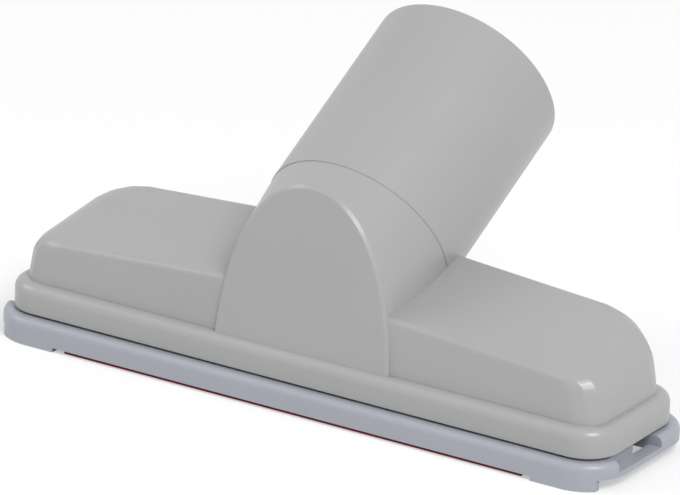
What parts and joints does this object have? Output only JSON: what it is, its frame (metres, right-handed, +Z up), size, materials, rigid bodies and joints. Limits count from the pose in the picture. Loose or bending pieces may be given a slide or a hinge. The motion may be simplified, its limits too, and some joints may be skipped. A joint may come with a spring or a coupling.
{
  "type": "vacuum upholstery nozzle",
  "caption": "Wide T-shaped suction nozzle: a hollow moulded hood with a leaning round tube socket, on a sole plate with a long suction slot between two velour lint strips.",
  "frame": {"origin": "on the floor, under the middle of the nozzle's outer box", "axes": "+X along the nozzle, +Z up out of the sole, +Y to the side that the socket leans to, so the flat shield faces -Y"},
  "size_m": [0.13, 0.0664, 0.0634],
  "materials": {
    "housing": "grey moulded plastic with a soft shine",
    "sole_plate": "blue-grey moulded plastic with a soft shine",
    "lint_strip": "dark red velour pile on an adhesive backing"
  },
  "bodies": {
    "root": {"housing": "housing", "sole_plate": "sole_plate", "lint_strip_front": "lint_strip", "lint_strip_rear": "lint_strip"}
  },
  "joints": []
}
